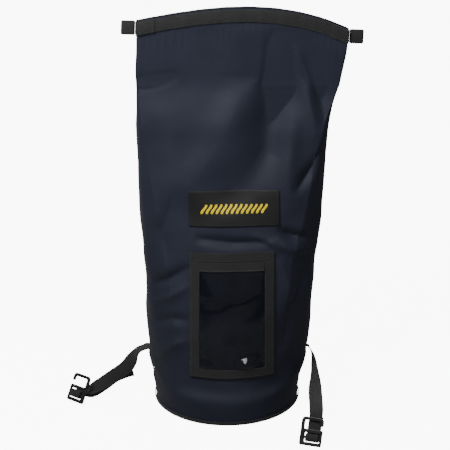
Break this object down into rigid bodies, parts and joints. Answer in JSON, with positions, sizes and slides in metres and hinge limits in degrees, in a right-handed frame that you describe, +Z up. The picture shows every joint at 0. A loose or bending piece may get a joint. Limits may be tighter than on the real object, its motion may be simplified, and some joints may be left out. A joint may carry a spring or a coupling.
{
  "type": "rope storage bag",
  "caption": "Round-based fabric bag that stores a climbing rope, with a roll-top mouth, clear label window and side straps with G-hooks.",
  "frame": {"origin": "middle of the base's underside, where the bag stands", "axes": "+Z up the bag to its mouth, -Y out of the front with the window, +X to the right seen from the front"},
  "size_m": [0.5416, 0.3554, 0.7723],
  "materials": {
    "coated_fabric": "coated woven navy fabric, satin",
    "black_webbing": "woven black webbing, matte",
    "label_rubber": "smooth black rubber, satin",
    "label_mark": "raised yellow print",
    "clear_vinyl": "clear flexible vinyl, glossy",
    "stiffener_plastic": "flexible plastic strip",
    "hook_metal": "black anodised, satin",
    "thread": "bonded black thread"
  },
  "bodies": {
    "root": {"base_panel": "coated_fabric", "base_binding": "black_webbing", "body_panel": "coated_fabric", "back_seam_tape": "black_webbing", "inner_tie_loop": "black_webbing", "label_patch": "label_rubber", "window_sheet": "clear_vinyl", "window_frame_top": "black_webbing", "window_frame_bottom": "black_webbing", "window_frame_left": "black_webbing", "window_frame_right": "black_webbing", "window_hem_binding": "black_webbing", "strap_anchor_left": "black_webbing", "strap_anchor_right": "black_webbing", "strap_root_left": "black_webbing", "strap_root_right": "black_webbing"},
    "collar": {"collar_sleeve": "coated_fabric"},
    "rim": {"rim_sleeve": "coated_fabric", "rim_stiffener": "stiffener_plastic", "rim_webbing_front": "black_webbing", "rim_webbing_back": "black_webbing", "loop_tab_left": "black_webbing", "loop_tab_right": "black_webbing"},
    "loop_left": {"end_loop_left": "black_webbing"},
    "loop_right": {"end_loop_right": "black_webbing"},
    "strap_left": {"strap_left": "black_webbing", "strap_eye_left": "black_webbing", "strap_tail_left": "black_webbing"},
    "strap_right": {"strap_right": "black_webbing", "strap_eye_right": "black_webbing", "strap_tail_right": "black_webbing"},
    "hook_left": {"g_hook_left": "hook_metal"},
    "hook_right": {"g_hook_right": "hook_metal"}
  },
  "joints": [
    {"name": "collar_fold", "type": "hinge", "parent": "root", "child": "collar", "pos_m": [0.02362, -0.0136, 0.63707], "axis": [0.9991, 0, -0.0419], "range_deg": [0, 150]},
    {"name": "rim_fold", "type": "hinge", "parent": "collar", "child": "rim", "pos_m": [0.02655, -0.0076, 0.70701], "axis": [0.9991, 0, -0.0419], "range_deg": [0, 180]},
    {"name": "loop_left_flex", "type": "hinge", "parent": "rim", "child": "loop_left", "pos_m": [-0.1685, -0.0008, 0.7339], "axis": [0.0419, 0, 0.9991], "range_deg": [-90, 90]},
    {"name": "loop_right_flex", "type": "hinge", "parent": "rim", "child": "loop_right", "pos_m": [0.22316, -0.0008, 0.71748], "axis": [0.0419, 0, 0.9991], "range_deg": [-90, 90]},
    {"name": "strap_left_swing", "type": "hinge", "parent": "root", "child": "strap_left", "pos_m": [-0.1525, -0.003, 0.0972], "axis": [0, 1, 0], "range_deg": [0, 100]},
    {"name": "strap_right_swing", "type": "hinge", "parent": "root", "child": "strap_right", "pos_m": [0.1495, -0.001, 0.0985], "axis": [-1, 0, 0], "range_deg": [0, 85]},
    {"name": "hook_left_pivot", "type": "hinge", "parent": "strap_left", "child": "hook_left", "pos_m": [-0.279, -0.0335, 0.016], "axis": [0.7068, -0.7035, 0.0747], "range_deg": [0, 60]},
    {"name": "hook_right_pivot", "type": "hinge", "parent": "strap_right", "child": "hook_right", "pos_m": [0.1545, -0.2087, 0.0154], "axis": [0.9305, -0.3652, 0.026], "range_deg": [0, 110]}
  ]
}
